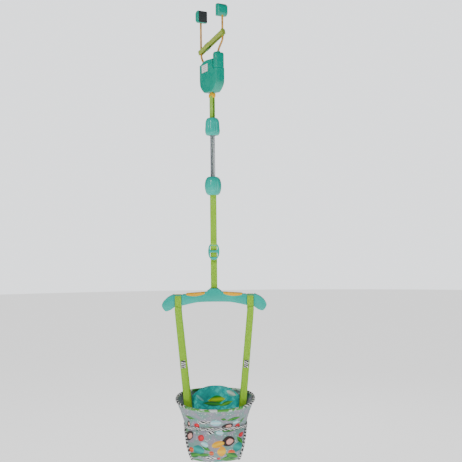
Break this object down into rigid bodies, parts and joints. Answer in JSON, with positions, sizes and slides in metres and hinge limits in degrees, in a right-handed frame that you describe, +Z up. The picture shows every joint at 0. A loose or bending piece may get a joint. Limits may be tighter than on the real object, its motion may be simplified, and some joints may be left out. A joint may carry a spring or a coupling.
{
  "type": "doorway baby jumper",
  "caption": "Doorway baby jumper: a header clamp, a covered bounce spring, a height-adjusting webbing, a spreader bar and a padded bucket seat with leg openings.",
  "frame": {"origin": "midway between the two clamp pads, at the level of their undersides, which rest on the top edges of the door's head trim", "axes": "+Z up, X along the spreader bar, the seat faces -Y; the clamp is turned 55 degrees about Z from the bar"},
  "size_m": [0.406, 0.249, 1.7669],
  "materials": {
    "teal_shell": "gloss moulded",
    "bright_teal_shell": "gloss moulded",
    "yellow_plastic": "satin moulded",
    "arm_paint": "satin powder coat",
    "steel": "bright zinc",
    "grip_rubber": "matt, ribbed",
    "dark_plastic": "satin",
    "lime_webbing": "woven webbing",
    "printed_cloth": "printed woven cotton",
    "striped_binding": "black and white striped tape",
    "pad_cloth": "quilted printed cloth",
    "white_label": "matt"
  },
  "bodies": {
    "clamp": {"clamp_housing_front": "teal_shell", "clamp_housing_rear": "teal_shell", "clamp_screw_1": "steel", "clamp_screw_2": "steel", "clamp_screw_3": "steel", "clamp_screw_4": "steel", "front_arm_socket": "teal_shell", "rear_arm_pin": "steel", "eye_pin": "steel", "clamp_label": "white_label", "front_arm": "arm_paint", "front_pad": "teal_shell", "front_grip": "grip_rubber", "arm_spring": "steel", "safety_strap_collar_front": "lime_webbing", "safety_strap": "lime_webbing"},
    "rear_arm": {"rear_arm": "arm_paint", "rear_pad": "teal_shell", "rear_grip": "grip_rubber", "safety_strap_collar_rear": "lime_webbing"},
    "buckle": {"safety_buckle": "dark_plastic"},
    "eye": {"hanger_eye": "yellow_plastic"},
    "upper_unit": {"upper_strap": "lime_webbing", "upper_cover_front": "bright_teal_shell", "upper_cover_rear": "bright_teal_shell", "upper_cover_pin": "steel", "upper_spring_plug": "dark_plastic", "bounce_spring": "steel", "spring_tether": "lime_webbing"},
    "lower_unit": {"lower_cover_front": "bright_teal_shell", "lower_cover_rear": "bright_teal_shell", "lower_spring_plug": "dark_plastic"},
    "swivel_unit": {"swivel": "steel", "lower_strap": "lime_webbing"},
    "adjuster": {"height_adjuster": "bright_teal_shell"},
    "hub_webbing": {"hub_strap": "lime_webbing"},
    "bar": {"bar_shell_front": "bright_teal_shell", "bar_shell_rear": "bright_teal_shell", "bar_screw_1": "steel", "bar_screw_2": "steel", "bar_screw_3": "steel", "bar_screw_4": "steel", "left_insert": "yellow_plastic", "right_insert": "yellow_plastic", "hub_pin": "steel", "left_saddle_strap": "lime_webbing", "right_saddle_strap": "lime_webbing"},
    "seat": {"left_front_strap": "lime_webbing", "left_rear_strap": "lime_webbing", "left_tag": "white_label", "right_front_strap": "lime_webbing", "right_rear_strap": "lime_webbing", "right_tag": "white_label", "seat_band": "printed_cloth", "rim_binding": "striped_binding", "waist_tape": "striped_binding", "seat_sling": "printed_cloth", "left_leg_binding": "striped_binding", "right_leg_binding": "striped_binding", "back_pad": "pad_cloth"}
  },
  "joints": [
    {"name": "rear_arm_swing", "type": "hinge", "parent": "clamp", "child": "rear_arm", "pos_m": [-0.02409, 0.0344, -0.191], "axis": [-0.8192, -0.5736, 0], "range_deg": [0, 20], "stiffness_Nm_per_rad": 4, "springref_deg": -22.92},
    {"name": "buckle_slide", "type": "slide", "parent": "clamp", "child": "buckle", "axis": [0.5419, -0.774, 0.3275], "range_m": [-0.01, 0.03]},
    {"name": "eye_swing", "type": "hinge", "parent": "clamp", "child": "eye", "pos_m": [0, 0, -0.276], "axis": [0.8192, 0.5736, 0], "range_deg": [-18, 18]},
    {"name": "strap_swing", "type": "hinge", "parent": "eye", "child": "upper_unit", "pos_m": [0, 0, -0.301], "axis": [0.5736, -0.8192, 0], "range_deg": [-30, 30]},
    {"name": "bounce", "type": "slide", "parent": "upper_unit", "child": "lower_unit", "axis": [0, 0, -1], "range_m": [0, 0.15], "stiffness_N_per_m": 785, "springref_m": -0.04, "deforming": ["bounce_spring", "spring_tether"]},
    {"name": "seat_turn", "type": "hinge", "parent": "lower_unit", "child": "swivel_unit", "pos_m": [0, 0, -0.65], "axis": [0, 0, 1], "range_deg": [-180, 180]},
    {"name": "adjuster_slide", "type": "slide", "parent": "swivel_unit", "child": "adjuster", "axis": [0, 0, 1], "range_m": [-0.08, 0.14], "deforming": ["lower_strap"]},
    {"name": "hub_slide", "type": "slide", "parent": "adjuster", "child": "hub_webbing", "axis": [0, 0, -1], "range_m": [-0.04, 0.07], "deforming": ["hub_strap"]},
    {"name": "bar_swing", "type": "hinge", "parent": "hub_webbing", "child": "bar", "pos_m": [0, 0, -1.057], "axis": [1, 0, 0], "range_deg": [-20, 20]},
    {"name": "seat_tip", "type": "hinge", "parent": "bar", "child": "seat", "pos_m": [0, 0, -1.1238], "axis": [1, 0, 0], "range_deg": [-8, 8]}
  ],
  "couplings": [
    {"joint": "hub_slide", "follows": "adjuster_slide", "ratio": 0.5}
  ]
}
